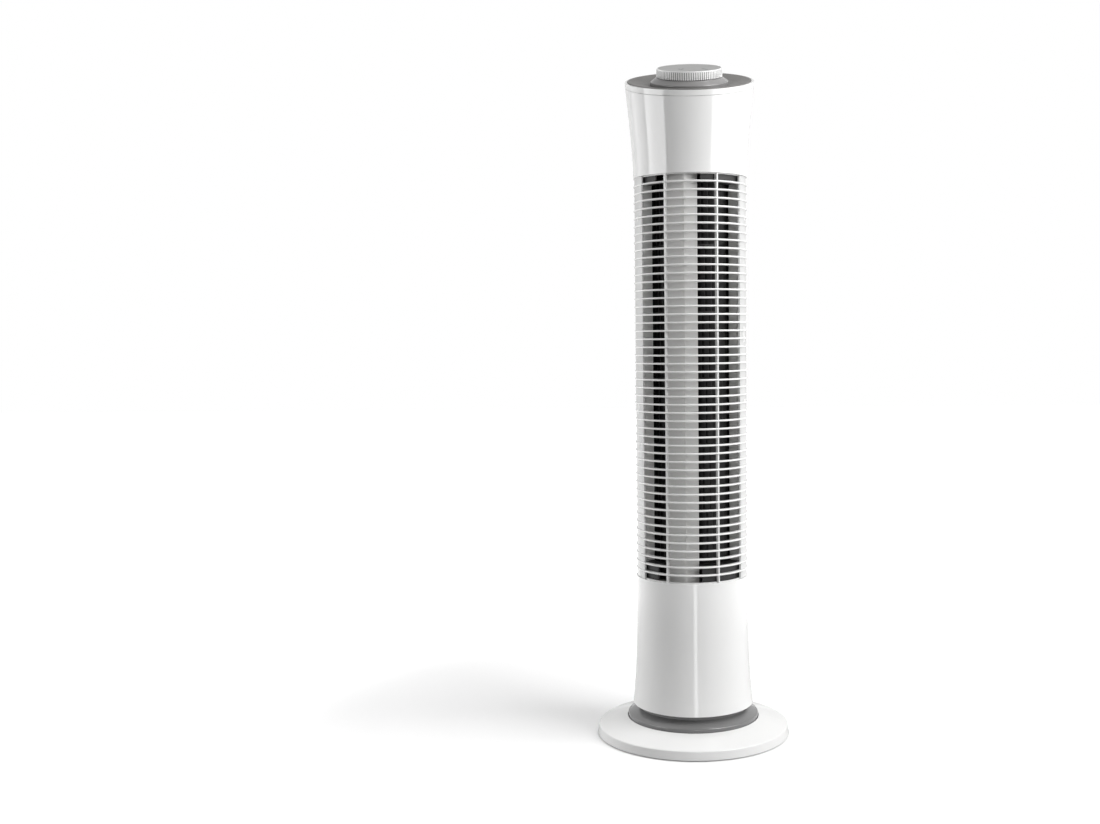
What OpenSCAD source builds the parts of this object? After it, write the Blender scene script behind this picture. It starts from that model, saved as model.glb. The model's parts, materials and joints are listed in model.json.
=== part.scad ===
// Tower fan on a round swinging base
// Millimetres, floor at z = 0, origin at the centre of the base, front towards -Y, right side towards +X
// The column swings on the base, an upright cross-flow impeller runs in the column,
// and the slanted top carries one rotary dial

/* [Base] */
// Radius of the base at the floor
base_r = 110; // [100:1:125]
// Height of the crease where the side wall meets the sloping top
base_side_h = 10.8; // [10:0.2:14]
// Inward lean of the side wall
base_draft = 1.5; // [0.5:0.1:2.5]
// Rounding of that crease
crease_round = 1.2; // [0.6:0.1:2]
// Height of the sloping top beside the swivel collar
base_crown_h = 20.2; // [19.8:0.2:24]
// Wall of the base moulding
base_wall = 2.4; // [1.8:0.1:2.8]
// Gap between the floor and the rim of the base
rim_gap = 1.2; // [0.8:0.1:1.6]
// Thickness of the steel ballast plate
ballast_t = 2.4; // [1.8:0.1:2.6]
// Radius of a rubber foot
foot_r = 8; // [6:0.5:10]
// Depth of a foot's pocket in the ballast plate
foot_pocket = 1; // [0.6:0.1:1.4]
// Number of rubber feet
foot_count = 5; // [4:1:8]

/* [Swivel] */
// Radius of the grey swivel collar
collar_r = 74.8; // [72:0.2:78]
// Height of the collar's lip above the base
collar_lip_h = 4.6; // [3.5:0.1:6]
// Rounding of the collar's lip
collar_round = 1.6; // [0.8:0.1:2]
// Rise of the collar's cone from lip to neck
collar_rise = 6; // [4:0.5:6.5]
// Wall of the collar moulding
collar_wall = 2.4; // [2:0.1:3]
// Gap between the collar and the base
swing_gap = 0.8; // [0.5:0.1:1.2]
// Depth of the well in the base that the collar turns in
well_depth = 3.4; // [3:0.1:4]
// Radius of the spindle that the column turns on
spindle_r = 44; // [43:0.5:48]
// Wall of the spindle
spindle_wall = 4; // [3:0.1:4]
// Width of the slip ring under the collar
glide_w = 8; // [5:0.5:10]
// Thickness of the slip ring
glide_t = 1.2; // [0.8:0.1:1.6]

/* [Swing drive] */
// Distance from the crank's axis to its pin
crank_throw = 13.6; // [12.8:0.1:13.8]
// Room between the crank pin's path and the spindle
crank_room = 1.9; // [1.6:0.1:2.8]
// Radius of the crank pin
pin_r = 2.5; // [2:0.1:3]
// Thickness of the crank disc
crank_t = 3.2; // [2.6:0.1:3.6]
// Room on each side of the pin in the yoke's slot
slot_room = 2.9; // [2.8:0.1:3.2]
// Radius of the swing motor's can
swing_motor_r = 25; // [22:0.5:28]
// Height of the swing motor's can
swing_motor_h = 15; // [12:0.5:16]

/* [Column] */
// Radius of the column at the grille
column_r = 64; // [62:0.5:66]
// Wall of the casing covers
cover_wall = 2.2; // [1.8:0.1:2.4]
// Radius of the casing at its lower edge
skirt_r = 68.8; // [67:0.2:70]
// Height of the casing's lower edge
skirt_z = 36; // [33:0.5:38]
// Height where the lower flare ends
lower_flare_z = 125; // [100:1:150]
// Height of the middle of the lowest slat
first_slat_z = 193; // [185:1:205]
// Length of the upper casing from the grille to the seam
upper_h = 102.5; // [95:0.5:110]
// Radius of the casing at its top
top_r = 72.3; // [70:0.1:73]
// Slant of the top towards the front, in degrees
slant = 18; // [12:0.5:20]
// Height of the white rim above the seam
rim_h = 6.1; // [5.6:0.1:8]
// Width of the rim's upper edge
rim_w = 2.6; // [2.2:0.1:3.2]

/* [Grille] */
// Number of slats
slat_count = 49; // [40:1:49]
// Distance from slat to slat
slat_pitch = 9; // [8.5:0.1:9.2]
// Thickness of a slat
slat_t = 2; // [1.6:0.1:2.6]
// Depth of a slat from its outer edge inwards
slat_depth = 4.8; // [4:0.1:4.8]
// Recess of the side strips behind the slats' edges
strip_recess = 1.1; // [0.6:0.1:1.4]
// Thickness of the side strips
strip_t = 2; // [1.6:0.1:2.2]
// Azimuth of the front strips' inner edges, in degrees
strip_azimuth = 59; // [56:0.5:64]
// Azimuth of the front ribs, in degrees
rib_azimuth = 27; // [22:0.5:32]
// Width of a rib
rib_w = 1.6; // [1.2:0.1:2.4]
// Height of the bands that tuck into the covers
band_h = 8; // [7:0.5:10]
// Thickness of these bands
band_t = 2; // [1.6:0.1:2.2]

/* [Impeller] */
// Room between the impeller and the edge of the decks
impeller_side_room = 16.2; // [15.2:0.2:19.2]
// Radial depth of a blade
blade_depth = 9; // [7:0.5:10]
// Thickness of a blade
blade_t = 1; // [0.8:0.1:1.3]
// Number of blades round the impeller
blade_count = 32; // [24:1:36]
// Number of sections up the impeller
section_count = 6; // [4:1:6]
// Thickness of the rings between sections
ring_t = 2; // [1.6:0.1:2.6]
// Room above and below the impeller
impeller_room = 5; // [4:0.5:6]
// Radius of the coupling in the impeller's lower disc
coupling_r = 13; // [11:0.5:15]
// Height of the coupling
coupling_h = 12; // [10:0.5:14]
// Radius of the journal at the top
journal_r = 3; // [2.5:0.1:4]

/* [Air guides] */
// Gap between the impeller and the guides
guide_gap = 3; // [2.5:0.1:3.5]
// Wall of the guides
guide_wall = 1.8; // [1.4:0.1:2.2]
// Left edge of the front tongue
tongue_left = 29; // [26:0.5:31]
// Nose of the front tongue, to the left of the middle
tongue_nose = 7.5; // [5:0.5:10]
// Right edge of the front tongue
tongue_right = 7; // [5:0.5:9]
// Azimuth of the guides' front edges, in degrees
lip_azimuth = 66; // [64:0.5:68]
// Height of the black shroud round the impeller's lower end
low_shroud_h = 21; // [12:0.5:24]
// Height of the black shroud round its upper end
high_shroud_h = 12; // [9:0.5:18]
// Wall of the shrouds
shroud_wall = 1.8; // [1.4:0.1:2.2]

/* [Motor] */
// Room between the motor's can and the edge of the decks
motor_side_room = 22.2; // [20.2:0.5:27.2]
// Height of the motor's can
motor_h = 40; // [34:0.5:46]
// Radius of the motor's shaft
shaft_r = 4; // [3:0.1:5]
// Thickness of the two decks
deck_t = 3; // [2.4:0.1:3.4]
// Radius of a rubber mount
mount_r = 5; // [4:0.1:6]
// Height of a rubber mount
mount_h = 6; // [5:0.1:8]

/* [Top controls] */
// Depth of the control plate's dish below the rim
plate_depth = 3.9; // [3.6:0.1:4.4]
// Height of the control plate's border above the rim
border_h = 0.8; // [0.2:0.1:1.2]
// Width of that border at its sides
border_w = 2.2; // [1.6:0.1:3]
// Radius of the grey collar round the dial
dial_collar_r = 43.8; // [42:0.2:46]
// Height of the collar's upright edge
dial_collar_h = 4.4; // [3.4:0.1:5]
// Radius of the dial at its foot
dial_r = 37.2; // [34:0.2:39]
// Inward lean of the dial's side
dial_draft = 0.5; // [0.2:0.1:1]
// Height of the dial
dial_h = 9.7; // [8.5:0.1:11]
// Number of flutes round the dial
flute_count = 92; // [60:1:100]
// Depth of a flute
flute_depth = 0.5; // [0.3:0.05:0.6]
// Width of the dial's white lip
dial_lip = 1.6; // [1.2:0.1:2.4]
// Radius of the switch's spindle
spindle_pin_r = 3; // [2.5:0.1:3.5]

/* [Fasteners and inlet] */
// Distance from the middle of a screw pillar to the edge of the decks
pillar_room = 8.2; // [7.2:0.2:11.2]
// Radius of a screw pillar
pillar_r = 4; // [3.6:0.1:4.6]
// Radius of a screw's shank
screw_r = 1.5; // [1.2:0.1:1.8]
// Radius of a screw's head
head_r = 3; // [2.6:0.1:3.2]
// Radius of the hole for the mains lead
gland_r = 3.4; // [3:0.1:4.4]

/* [Fits] */
// Gap between pieces that seat on each other
fit_gap = 0.3; // [0.2:0.05:0.4]
// Radial play of a running journal
run_gap = 0.08; // [0.04:0.01:0.1]

/* [Hidden] */
$fn = 96;

// Steps along a curved outline
curve_steps = 12;
// Overrun of cuts past the faces they open
over = 1;

// Shares of the flares' heights at which their curves turn
lower_turn_share = 0.47;
upper_turn_share = 0.26;

// Levels of the grille's opening
grille_z0 = first_slat_z - slat_pitch;
grille_z1 = first_slat_z + slat_count*slat_pitch;
// Height of the seam and of the rim plane on the axis
seam_z = grille_z1 + upper_h;
rim_z = seam_z + rim_h/cos(slant);
upper_flare_z = grille_z1 + cover_wall;
outline_top_z = rim_z + (top_r + rim_h)*tan(slant) + over;
span = 4*column_r;

// Levels in the base
shell_z = rim_gap;
well_z = base_crown_h - well_depth;
well_r = collar_r + swing_gap;
hub_wall = base_wall + spindle_wall/4;
hub_bottom = shell_z + ballast_t + 3*base_wall;
crease_r = base_r - base_draft;
ballast_r = base_r - 2*base_wall - base_draft;
foot_ring_r = ballast_r - foot_r - base_wall;
base_screw_ring_r = (well_r + foot_ring_r)/2 - base_wall;
boss_r = head_r + base_wall/2;
glide_r = collar_r - 2*base_wall;

// Levels of the collar and the swing drive
collar_z0 = well_z + fit_gap + glide_t/4;
lip_z = base_crown_h + collar_lip_h;
neck_r = collar_r - 4*collar_wall - 2*collar_round;
neck_z = lip_z + collar_rise;
floor_z = skirt_z + 4*collar_wall;
spindle_bottom = hub_bottom - fit_gap;
spindle_in_r = spindle_r - spindle_wall;
crank_offset = spindle_in_r - crank_room - crank_throw - pin_r;
web_z = collar_z0 + collar_wall;
retainer_t = base_wall;
yoke_z0 = shell_z + ballast_t;
yoke_t = hub_bottom - fit_gap - retainer_t - yoke_z0 - 2*fit_gap;
crank_z1 = collar_z0 - 2*fit_gap;
crank_z0 = crank_z1 - crank_t;
crank_r = crank_throw + pin_r + fit_gap;
slot_half = pin_r + slot_room;
bar_half = slot_half + base_wall;
yoke_screw_x = bar_half + head_r;
retainer_in_r = crank_offset + crank_throw + pin_r + 3*fit_gap;

// Levels in the column
deck_z = grille_z0 - deck_t - 6*fit_gap;
deck_r = column_r - cover_wall - band_t - 2*fit_gap;
impeller_r = deck_r - impeller_side_room;
motor_r = deck_r - motor_side_room;
pillar_x = deck_r - pillar_room;
deck_top = deck_z + deck_t;
bearing_z = grille_z1 + deck_t;
impeller_z0 = deck_top + impeller_room;
impeller_z1 = bearing_z - impeller_room;
impeller_h = impeller_z1 - impeller_z0;
section_h = (impeller_h - ring_t)/section_count;
mount_ring_r = motor_r + mount_r + screw_r;
ear_z = deck_z - 2*mount_h;
motor_z0 = ear_z - motor_h;
bell_share = 0.6;
bell_r = motor_r*bell_share;
bell_h = mount_h;
end_disc_t = ring_t;
guide_r = impeller_r + guide_gap;

// Levels on the slanted top, measured along its own axis from the rim plane
seam_w = -rim_h;
bezel_w = seam_w + fit_gap;
plate_w = -plate_depth;
flange_share = 0.12;
plate_flange = rim_h*flange_share;
ledge_w = plate_w - plate_flange;
ledge_inset = rim_w + 3*plate_flange;
plate_tail_share = 0.6;
plate_bottom = ledge_w - plate_depth*plate_tail_share;
dish_r = top_r - rim_w - fit_gap - border_w;
collar_edge_w = plate_w + dial_collar_h;
dial_w0 = collar_edge_w + dial_collar_h;
dial_w1 = dial_w0 + dial_h;
dial_wall = 2*dial_lip;
dial_web_w = dial_w1 - dial_lip - dial_wall/2;
cap_share = 0.8;
cap_t = dial_lip*cap_share;
switch_w = plate_bottom - 2*fit_gap;
switch_half = 4.6*spindle_pin_r;
switch_h = 5*spindle_pin_r;
bush_r = 1.7*spindle_pin_r;
nut_r = 1.7*bush_r;

// Colours
white = [0.93, 0.93, 0.92];
inner_white = [0.86, 0.86, 0.85];
grey = [0.5, 0.5, 0.5];
light_grey = [0.66, 0.66, 0.66];
black = [0.06, 0.06, 0.06];
steel = [0.7, 0.7, 0.72];
rubber = [0.12, 0.12, 0.12];

// Points of a curve from a to c that heads for b
function bend(a, b, c, n = curve_steps) =
    [for (i = [0:n]) let(t = i/n) a*(1 - t)*(1 - t) + b*2*t*(1 - t) + c*t*t];

function reversed(list) = [for (i = [len(list) - 1:-1:0]) list[i]];

// Outline of the column, radius and height, from its lower edge to past its top
outline = concat(
    bend([skirt_r, skirt_z],
        [column_r, skirt_z + lower_turn_share*(lower_flare_z - skirt_z)],
        [column_r, lower_flare_z]),
    bend([column_r, upper_flare_z],
        [column_r, upper_flare_z + upper_turn_share*(seam_z - upper_flare_z)],
        [top_r, seam_z]),
    [[top_r, outline_top_z]]);

function radius_at(z) = lookup(z, [for (p = outline) [p[1], p[0]]]);

// Outline between two heights, moved inwards by an inset
function edge(z0, z1, inset) = concat(
    [[radius_at(z0) - inset, z0]],
    [for (p = outline) if (p[1] > z0 && p[1] < z1) [p[0] - inset, p[1]]],
    [[radius_at(z1) - inset, z1]]);

// Section of a shell that follows the column
function skin(z0, z1, outer, inner) =
    concat(edge(z0, z1, outer), reversed(edge(z0, z1, inner)));

// Rotates a section over the front or rear half of the column
module half_turn(front) {
    rotate([0, 0, front ? 180 : 0]) rotate_extrude(angle = 180) children();
}

// Everything past the upright seam between the front and rear halves
module past_seam(front) {
    translate([-span/2, front ? -fit_gap/2 : fit_gap/2 - span, 0]) cube([span, span, 4*span]);
}

// Rotates a section between two azimuths, counted from the front towards the right
module sweep(from, to) {
    rotate([0, 0, from - 90]) rotate_extrude(angle = to - from) children();
}

module ring(outer, inner, h) {
    difference() {
        cylinder(r = outer, h = h);
        translate([0, 0, -over]) cylinder(r = inner, h = h + 2*over);
    }
}

// Places a piece in the frame of the slanted top
module on_top(w = 0) {
    translate([0, 0, rim_z]) rotate([slant, 0, 0]) translate([0, 0, w]) children();
}

// Everything above a level of the slanted top
module above(w) {
    on_top(w) translate([-span/2, -span/2, 0]) cube([span, span, span]);
}

// Solid of the column with an inset, between two levels of the slanted top
module slice(inset, w0, w1) {
    difference() {
        rotate_extrude() polygon(concat(edge(upper_flare_z, outline_top_z, inset),
            [[0, outline_top_z], [0, upper_flare_z]]));
        above(w1);
        difference() {
            translate([-span/2, -span/2, 0]) cube([span, span, 4*span]);
            above(w0);
        }
    }
}

// Side step of a line at point i, to one side, with mitred corners
function step_out(line, i, t) =
    let(a = line[max(i - 1, 0)], b = line[i], c = line[min(i + 1, len(line) - 1)],
        u = b == a ? (c - b)/norm(c - b) : (b - a)/norm(b - a),
        v = c == b ? u : (c - b)/norm(c - b),
        m = [-u[1] - v[1], u[0] + v[0]])
    b + m*2*t/(m*m);

// Plan of a wall of even thickness along a line of points
function ribbon(line, t) = concat([for (i = [0:len(line) - 1]) step_out(line, i, t/2)],
    [for (i = [len(line) - 1:-1:0]) step_out(line, i, -t/2)]);

// Point of a plan at a radius and an azimuth from the front towards the right
function at(r, azimuth) = [r*sin(azimuth), -r*cos(azimuth)];

module round_places(count, r, first = 0) {
    for (i = [0:count - 1])
        rotate([0, 0, first + i*360/count]) translate([r, 0, 0]) children();
}

// Base

// Height of the base's sloping top over a radius
function top_z(r) = base_side_h + (base_crown_h - base_side_h)*(crease_r - r)/(crease_r - well_r);

// Rounded crease between the side wall and the sloping top
function crease() = bend([crease_r + base_draft*crease_round/base_side_h, base_side_h - crease_round],
    [crease_r, base_side_h], [crease_r - crease_round, top_z(crease_r - crease_round)], 4);

module base_shell() {
    color(white) difference() {
        rotate_extrude() polygon(concat(
            [[base_r - base_wall, shell_z], [base_r, shell_z]],
            crease(),
            [[well_r, base_crown_h], [well_r, well_z], [spindle_r + run_gap, well_z], [spindle_r + run_gap, hub_bottom],
                [spindle_r + hub_wall, hub_bottom], [spindle_r + hub_wall, well_z - base_wall],
                [well_r + base_wall, well_z - base_wall],
                [well_r + base_wall, top_z(well_r + base_wall) - base_wall],
                [crease_r - base_wall, top_z(crease_r - base_wall) - base_wall]]));
        // Groove for the slip ring
        translate([0, 0, well_z - glide_t/2])
            ring(glide_r + fit_gap, glide_r - glide_w - fit_gap, glide_t);
    }
    // Bosses that the ballast plate is screwed to, cut off inside the wall of the top
    color(white) difference() {
        intersection() {
            round_places(4, base_screw_ring_r, 45) translate([0, 0, yoke_z0]) cylinder(r = boss_r, h = base_crown_h);
            rotate_extrude() polygon([[well_r - boss_r, yoke_z0], [crease_r, yoke_z0],
                [crease_r, base_side_h - base_wall/2], [well_r - boss_r, top_z(well_r - boss_r) - base_wall/2]]);
        }
        round_places(4, base_screw_ring_r, 45) translate([0, 0, yoke_z0 - over])
            cylinder(r = screw_r, h = 3*screw_r + over);
    }
}

module ballast_plate() {
    color(steel) difference() {
        translate([0, 0, shell_z]) cylinder(r = ballast_r, h = ballast_t);
        round_places(4, base_screw_ring_r, 45) translate([0, 0, shell_z - over])
            cylinder(r = screw_r + fit_gap, h = ballast_t + 2*over);
        round_places(foot_count, foot_ring_r, 90) translate([0, 0, shell_z - over])
            cylinder(r = foot_r + fit_gap, h = foot_pocket + over);
        for (x = [-yoke_screw_x, yoke_screw_x]) translate([x, crank_offset, shell_z - over])
            cylinder(r = screw_r, h = ballast_t + 2*over);
    }
}

module rubber_feet() {
    color(rubber) round_places(foot_count, foot_ring_r, 90) difference() {
        cylinder(r = foot_r, h = shell_z + foot_pocket);
        translate([0, 0, -over]) cylinder(r = foot_r/3, h = over + rim_gap/2);
    }
}

module base_screws() {
    color(steel) round_places(4, base_screw_ring_r, 45) {
        translate([0, 0, shell_z - rim_gap/2]) cylinder(r = head_r, h = rim_gap/2);
        translate([0, 0, shell_z - rim_gap/4]) cylinder(r = screw_r - run_gap, h = ballast_t + 3*screw_r);
    }
    // Screws of the yoke, let in from above
    color(steel) for (x = [-yoke_screw_x, yoke_screw_x]) translate([x, crank_offset, shell_z]) {
        cylinder(r = screw_r - run_gap, h = ballast_t + yoke_t/2 + rim_gap/4);
        translate([0, 0, ballast_t + yoke_t/2]) cylinder(r = head_r*2/3, h = rim_gap);
    }
}

// Bar on the ballast plate whose slot holds the crank pin
module swing_yoke() {
    slot_in = crank_offset - crank_throw - pin_r - slot_room;
    slot_out = crank_offset + crank_throw + slot_room;
    color(grey) translate([0, 0, yoke_z0]) difference() {
        union() {
            translate([-bar_half, slot_in - base_wall, 0])
                cube([2*bar_half, slot_out - slot_in + 2*base_wall, yoke_t]);
            for (x = [-yoke_screw_x, yoke_screw_x])
                translate([x, crank_offset, 0]) cylinder(r = boss_r, h = yoke_t/2);
        }
        for (x = [-yoke_screw_x, yoke_screw_x]) translate([x, crank_offset, -over])
            cylinder(r = screw_r + fit_gap, h = yoke_t + 2*over);
        translate([-slot_half, slot_in, -over])
            cube([2*slot_half, slot_out - slot_in, yoke_t + 2*over]);
    }
}

module glide_ring() {
    color(light_grey) translate([0, 0, well_z - glide_t/2])
        ring(glide_r, glide_r - glide_w, glide_t/2 + glide_t/4);
}

// Swivel and swing drive

module swivel_collar() {
    lip = [for (a = [0:15:90])
        [collar_r - collar_round + collar_round*cos(a), lip_z - collar_round + collar_round*sin(a)]];
    color(grey) difference() {
        rotate_extrude() polygon(concat(
            [[collar_r - collar_wall, collar_z0], [collar_r, collar_z0]],
            lip,
            [[neck_r, neck_z], [neck_r, floor_z], [neck_r - collar_wall, floor_z],
                [neck_r - collar_wall, web_z]],
            [[spindle_in_r, web_z], [spindle_in_r, spindle_bottom], [spindle_r, spindle_bottom],
                [spindle_r, collar_z0]]));
        round_places(4, spindle_r - spindle_wall/2, 45) translate([0, 0, spindle_bottom - over])
            cylinder(r = screw_r*2/3, h = over + 3*screw_r);
    }
    // Web that closes the spindle and carries the swing motor
    color(grey) difference() {
        translate([0, 0, collar_z0]) cylinder(r = spindle_in_r + spindle_wall/2, h = collar_wall);
        translate([0, crank_offset, collar_z0 - over]) cylinder(r = shaft_r + fit_gap, h = collar_wall + 2*over);
    }
}

module spindle_retainer() {
    color(light_grey) translate([0, 0, spindle_bottom - retainer_t]) difference() {
        ring(spindle_r + hub_wall - fit_gap, retainer_in_r, retainer_t);
        round_places(4, spindle_r - spindle_wall/2, 45) translate([0, 0, -over])
            cylinder(r = screw_r*2/3 + run_gap, h = retainer_t + 2*over);
    }
}

module retainer_screws() {
    color(steel) round_places(4, spindle_r - spindle_wall/2, 45) {
        translate([0, 0, spindle_bottom - retainer_t - fit_gap])
            cylinder(r = screw_r*4/3, h = fit_gap);
        translate([0, 0, spindle_bottom - retainer_t - fit_gap/2])
            cylinder(r = screw_r*2/3 - run_gap, h = retainer_t + 3*screw_r);
    }
}

module swing_motor() {
    color(steel) translate([0, crank_offset, web_z]) {
        difference() {
            union() {
                cylinder(r = swing_motor_r, h = swing_motor_h);
                translate([0, 0, swing_motor_h]) cylinder(r = swing_motor_r/2, h = collar_wall);
                for (side = [-1, 1])
                    translate([side*(swing_motor_r + head_r/2), 0, 0]) cylinder(r = 7/3*screw_r, h = ring_t);
            }
            translate([0, 0, -over]) cylinder(r = shaft_r/2 + run_gap, h = over + swing_motor_h/2);
            for (side = [-1, 1])
                translate([side*(swing_motor_r + head_r), 0, -over]) cylinder(r = screw_r, h = ring_t + 2*over);
        }
    }
}

module crank_disc() {
    color(white) translate([0, crank_offset, 0]) {
        difference() {
            translate([0, 0, crank_z0]) cylinder(r = crank_r, h = crank_t);
            for (a = [120, 180, 240])
                rotate([0, 0, 90 + a]) translate([crank_throw*2/3, 0, crank_z0 - over])
                    cylinder(r = pin_r, h = crank_t + 2*over);
        }
        translate([0, crank_throw, yoke_z0 + 2*fit_gap])
            cylinder(r = pin_r, h = crank_z0 - yoke_z0 - 2*fit_gap + crank_t/2);
        translate([0, 0, crank_z0 + crank_t/2])
            cylinder(r = shaft_r/2, h = web_z - crank_z0 - crank_t/2 + swing_motor_h/2 - 2*fit_gap);
    }
}

// Disc that joins the collar's neck to the covers
module column_floor() {
    floor_r = radius_at(floor_z + 3*collar_wall) - cover_wall - fit_gap;
    color(inner_white) translate([0, 0, floor_z]) difference() {
        union() {
            cylinder(r = floor_r, h = collar_wall);
            ring(floor_r, floor_r - collar_wall, 3*collar_wall);
        }
        // Window over the swing motor and the lead
        translate([0, 0, -over]) cylinder(r = neck_r/2, h = collar_wall + 2*over);
        for (x = [-pillar_x, pillar_x])
            translate([x, 0, 3*collar_wall]) rotate([90, 0, 0])
                cylinder(r = pillar_r + fit_gap, h = span, center = true);
    }
}

// Casing

// Heights of the screw pillars in the lower and upper casing
lower_pillars = [floor_z + 5*collar_wall + 2*pillar_r, deck_z - 3*pillar_r];
upper_pillars = [grille_z1 + band_h + 2*pillar_r, seam_z - top_r*tan(slant) - 2*pillar_r];

module pillars(z_list, front) {
    intersection() {
        for (z = z_list, x = [-pillar_x, pillar_x])
            translate([x, front ? 0 : span/2, z]) rotate([90, 0, 0])
                cylinder(r = pillar_r, h = span/2);
        rotate_extrude() polygon(concat(edge(skirt_z, outline_top_z, cover_wall/2),
            [[0, outline_top_z], [0, skirt_z]]));
    }
}

// Screw holes of the front pillars, and stepped holes of the rear ones
module pillar_bores(z_list, front) {
    for (z = z_list, x = [-pillar_x, pillar_x]) translate([x, 0, z]) rotate([90, 0, 0]) {
        if (front) translate([0, 0, -over]) cylinder(r = screw_r, h = 6*screw_r + over);
        if (!front) translate([0, 0, -span/2]) cylinder(r = screw_r + fit_gap, h = span/2 + over);
        if (!front) translate([0, 0, -span/2]) cylinder(r = head_r + fit_gap, h = span/2 - 2*pillar_r);
    }
}

module cover(z0, z1, z_list, front) {
    difference() {
        union() {
            half_turn(front) polygon(skin(z0, z1, 0, cover_wall));
            pillars(z_list, front);
        }
        pillar_bores(z_list, front);
        past_seam(front);
        children();
    }
}

module lower_front_cover() {
    color(white) cover(skirt_z, grille_z0, lower_pillars, true);
}

gland_z = floor_z + 3*collar_wall + 3*gland_r;

module lower_rear_cover() {
    color(white) cover(skirt_z, grille_z0, lower_pillars, false)
        translate([0, radius_at(gland_z), gland_z]) rotate([90, 0, 0])
            cylinder(r = 2*gland_r + fit_gap, h = 6*cover_wall, center = true);
}

module upper_front_cover() {
    color(white) cover(grille_z1, outline_top_z, upper_pillars, true) above(seam_w);
}

module upper_rear_cover() {
    color(white) cover(grille_z1, outline_top_z, upper_pillars, false) above(seam_w);
}

module cover_screws() {
    color(steel) for (z = concat(lower_pillars, upper_pillars), x = [-pillar_x, pillar_x])
        translate([x, 2*pillar_r, z]) rotate([90, 0, 0]) {
            translate([0, 0, -head_r*2/3]) cylinder(r = head_r, h = head_r*2/3);
            cylinder(r = screw_r - run_gap, h = 2*pillar_r + 5*screw_r);
        }
}

module cord_gland() {
    r_wall = radius_at(gland_z);
    flange_r = 2*gland_r + cover_wall;
    // The flange clears the casing where it is widest behind it
    widest = max(radius_at(gland_z - flange_r), radius_at(gland_z + flange_r));
    flange_at = widest - r_wall + fit_gap/2;
    color(rubber) translate([0, r_wall, gland_z]) rotate([90, 0, 0]) difference() {
        union() {
            translate([0, 0, -flange_at - cover_wall]) cylinder(r = flange_r, h = cover_wall);
            translate([0, 0, -flange_at - cover_wall/2]) cylinder(r = 2*gland_r, h = 3*cover_wall);
        }
        translate([0, 0, -flange_at - 2*cover_wall]) cylinder(r = gland_r, h = 5*cover_wall);
    }
}

// Grilles

module slats(front) {
    half_turn(front) for (k = [0:slat_count - 1]) translate([column_r, first_slat_z + k*slat_pitch]) {
        translate([-slat_depth, -slat_t/2]) square([slat_depth - slat_t/2, slat_t]);
        translate([-slat_t/2, 0]) circle(r = slat_t/2, $fn = 24);
    }
}

// Bands at both ends that tuck inside the covers, with a lip that shows beside them
module bands(front) {
    outer = column_r - cover_wall - fit_gap;
    half_turn(front) for (z = [grille_z0 - band_h, grille_z1 - slat_t/2])
        translate([outer - band_t, z]) square([band_t, band_h + slat_t/2]);
}

// Upright strip that follows the column between two azimuths
module strip(from, to) {
    outer = column_r - strip_recess;
    sweep(from, to) translate([outer - strip_t, grille_z0 + fit_gap/2])
        square([strip_t, grille_z1 - grille_z0 - fit_gap]);
}

module rib(azimuth) {
    outer = column_r - strip_recess/2;
    inner = column_r - slat_depth - fit_gap;
    rotate([0, 0, azimuth]) translate([-rib_w/2, -outer, grille_z0 + fit_gap])
        cube([rib_w, outer - inner, grille_z1 - grille_z0 - 2*fit_gap]);
}

module front_grille() {
    color(white) difference() {
        union() {
            slats(true);
            bands(true);
            strip(strip_azimuth, 90);
            strip(-90, -strip_azimuth);
            for (a = [-rib_azimuth, rib_azimuth]) rib(a);
        }
        past_seam(true);
    }
}

// Azimuths of the rear grille's ribs and strips
rear_ribs = [120, 150, 180, 210, 240];
rear_strip_azimuth = 78;

module rear_grille() {
    color(white) difference() {
        union() {
            slats(false);
            bands(false);
            strip(90, 180 - rear_strip_azimuth);
            strip(180 + rear_strip_azimuth, 270);
            for (a = rear_ribs) rib(a);
        }
        past_seam(false);
    }
}

// Motor, bearing and impeller

module motor_deck() {
    color(inner_white) difference() {
        union() {
            translate([0, 0, deck_z]) cylinder(r = deck_r, h = deck_t);
            round_places(4, mount_ring_r, 45) translate([0, 0, deck_z - mount_h]) cylinder(r = mount_r, h = mount_h);
        }
        translate([0, 0, deck_z - over]) cylinder(r = bell_r/2, h = deck_t + 2*over);
        round_places(4, mount_ring_r, 45) translate([0, 0, deck_z - mount_h - over])
            cylinder(r = screw_r, h = mount_h + over);
    }
}

module motor_mounts() {
    color(rubber) round_places(4, mount_ring_r, 45) translate([0, 0, ear_z])
        ring(mount_r, screw_r + fit_gap, mount_h);
}

module mount_screws() {
    color(steel) round_places(4, mount_ring_r, 45) {
        translate([0, 0, ear_z - ring_t - head_r/2]) cylinder(r = head_r, h = head_r/2);
        translate([0, 0, ear_z - ring_t - fit_gap]) cylinder(r = screw_r - run_gap, h = ring_t + 2*mount_h);
    }
}

module drive_motor() {
    color(steel) difference() {
        union() {
            translate([0, 0, motor_z0]) cylinder(r = motor_r, h = motor_h);
            translate([0, 0, motor_z0 - bell_h]) cylinder(r = bell_r, h = motor_h + 2*bell_h);
            translate([0, 0, ear_z - ring_t]) intersection() {
                cylinder(r = mount_ring_r + mount_r, h = ring_t);
                for (a = [45, 135]) rotate([0, 0, a])
                    translate([-span/2, -mount_r, 0]) cube([span, 2*mount_r, ring_t]);
            }
        }
        translate([0, 0, motor_z0 - 2*bell_h]) cylinder(r = shaft_r + run_gap, h = motor_h + 4*bell_h);
        round_places(4, mount_ring_r, 45) translate([0, 0, ear_z - ring_t - over])
            cylinder(r = screw_r + fit_gap, h = ring_t + 2*over);
        // Vents in both end bells
        for (z = [motor_z0 - bell_h - over, ear_z + bell_h/2])
            round_places(8, bell_r*3/4) translate([0, 0, z]) cylinder(r = shaft_r/2, h = bell_h/2 + over);
    }
}

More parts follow.
